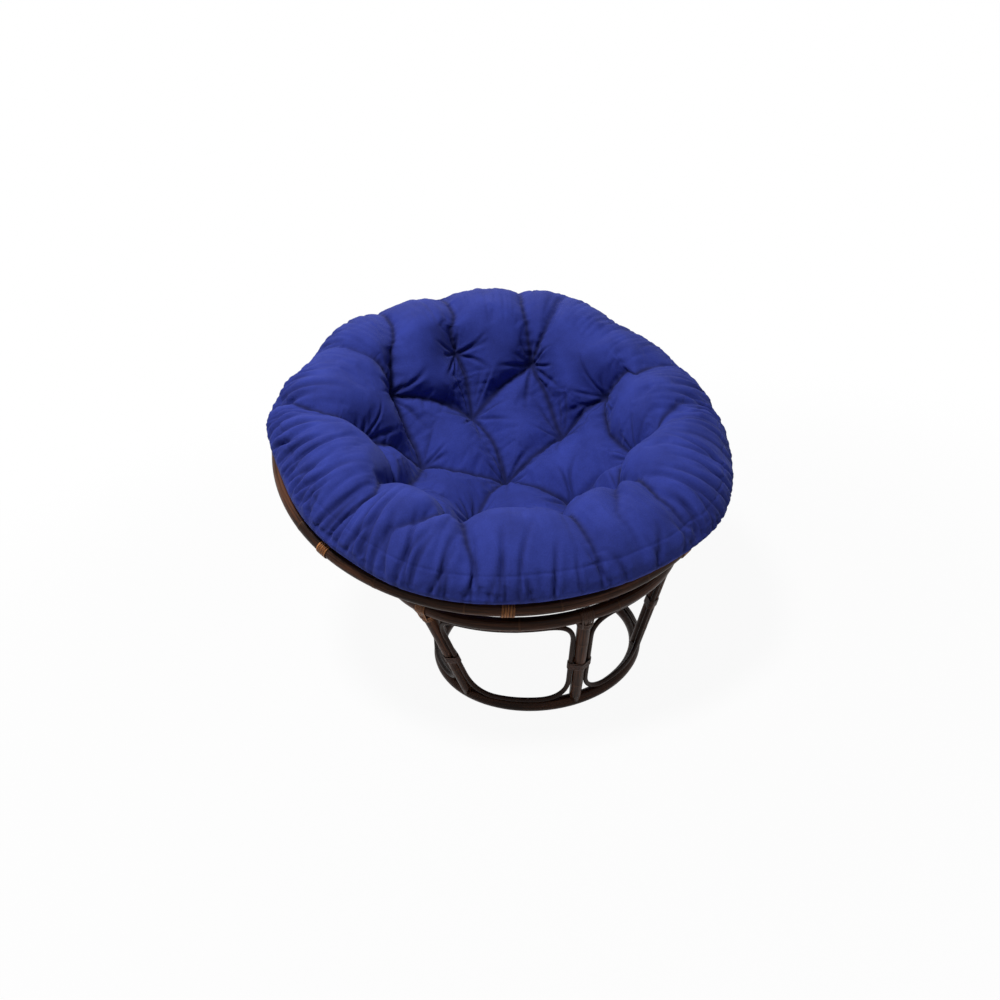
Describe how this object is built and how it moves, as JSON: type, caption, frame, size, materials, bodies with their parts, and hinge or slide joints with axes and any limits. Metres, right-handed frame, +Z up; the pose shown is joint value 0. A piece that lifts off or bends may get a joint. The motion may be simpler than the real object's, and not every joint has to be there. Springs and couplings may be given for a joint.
{
  "type": "papasan chair",
  "caption": "Round lounge chair: a bowl of stained rattan ribs and hoops tilts in an open ring stand and holds a thick tufted blue cushion.",
  "frame": {"origin": "on the floor under the middle of the whole chair at rest", "axes": "+Z up, -Y towards the chair's front, the low side of the bowl, +X to the sitter's left"},
  "size_m": [1.0656, 1.01, 0.7931],
  "materials": {
    "dark_rattan": "rattan poles stained dark reddish brown under a satin lacquer, paler rings at the nodes",
    "loop_cane": "thin bent cane stained nearly black under a satin lacquer",
    "strap_peel": "rattan peel wound flat, stained reddish brown, satin",
    "copper_peel": "rattan peel wound in narrow turns, left a lighter copper brown, satin",
    "blue_twill": "royal blue cotton twill, matt, softly wrinkled and deeply tufted"
  },
  "bodies": {
    "stand": {"stand_top_ring": "dark_rattan", "stand_foot_ring": "dark_rattan", "stand_post_1": "dark_rattan", "stand_post_2": "dark_rattan", "stand_post_3": "dark_rattan", "stand_post_4": "dark_rattan", "stand_post_5": "dark_rattan", "stand_post_6": "dark_rattan", "stand_loop_1": "loop_cane", "stand_loop_2": "loop_cane", "stand_loop_3": "loop_cane", "stand_loop_4": "loop_cane", "stand_loop_5": "loop_cane", "stand_loop_6": "loop_cane", "post_strap_1": "strap_peel", "post_strap_2": "strap_peel", "post_strap_3": "strap_peel", "post_strap_4": "strap_peel", "post_strap_5": "strap_peel", "post_strap_6": "strap_peel", "post_lashing_1": "copper_peel", "post_lashing_2": "copper_peel", "post_lashing_3": "copper_peel", "post_lashing_4": "copper_peel", "post_lashing_5": "copper_peel", "post_lashing_6": "copper_peel"},
    "bowl": {"bowl_rim": "dark_rattan", "bowl_middle_hoop": "dark_rattan", "bowl_inner_hoop": "dark_rattan", "bowl_rib_01": "dark_rattan", "bowl_rib_02": "dark_rattan", "bowl_rib_03": "dark_rattan", "bowl_rib_04": "dark_rattan", "bowl_rib_05": "dark_rattan", "bowl_rib_06": "dark_rattan", "bowl_rib_07": "dark_rattan", "bowl_rib_08": "dark_rattan", "bowl_rib_09": "dark_rattan", "bowl_rib_10": "dark_rattan", "bowl_rib_11": "dark_rattan", "bowl_rib_12": "dark_rattan", "bowl_rib_13": "dark_rattan", "bowl_rib_14": "dark_rattan", "bowl_rib_15": "dark_rattan", "bowl_rib_16": "dark_rattan", "rim_binding_1": "copper_peel", "rim_binding_2": "copper_peel", "rim_binding_3": "copper_peel", "rim_binding_4": "copper_peel", "rim_binding_5": "copper_peel", "rim_binding_6": "copper_peel", "rim_binding_7": "copper_peel", "rim_binding_8": "copper_peel"},
    "cushion": {"cushion": "blue_twill"}
  },
  "joints": [
    {"name": "bowl_tilt", "type": "hinge", "parent": "stand", "child": "bowl", "pos_m": [0, -0.12905, 0.88247], "axis": [1, 0, 0], "range_deg": [-42.6, 0]},
    {"name": "cushion_lift", "type": "slide", "parent": "bowl", "child": "cushion", "axis": [0, -0.3631, 0.9317], "range_m": [0, 0.3]}
  ]
}
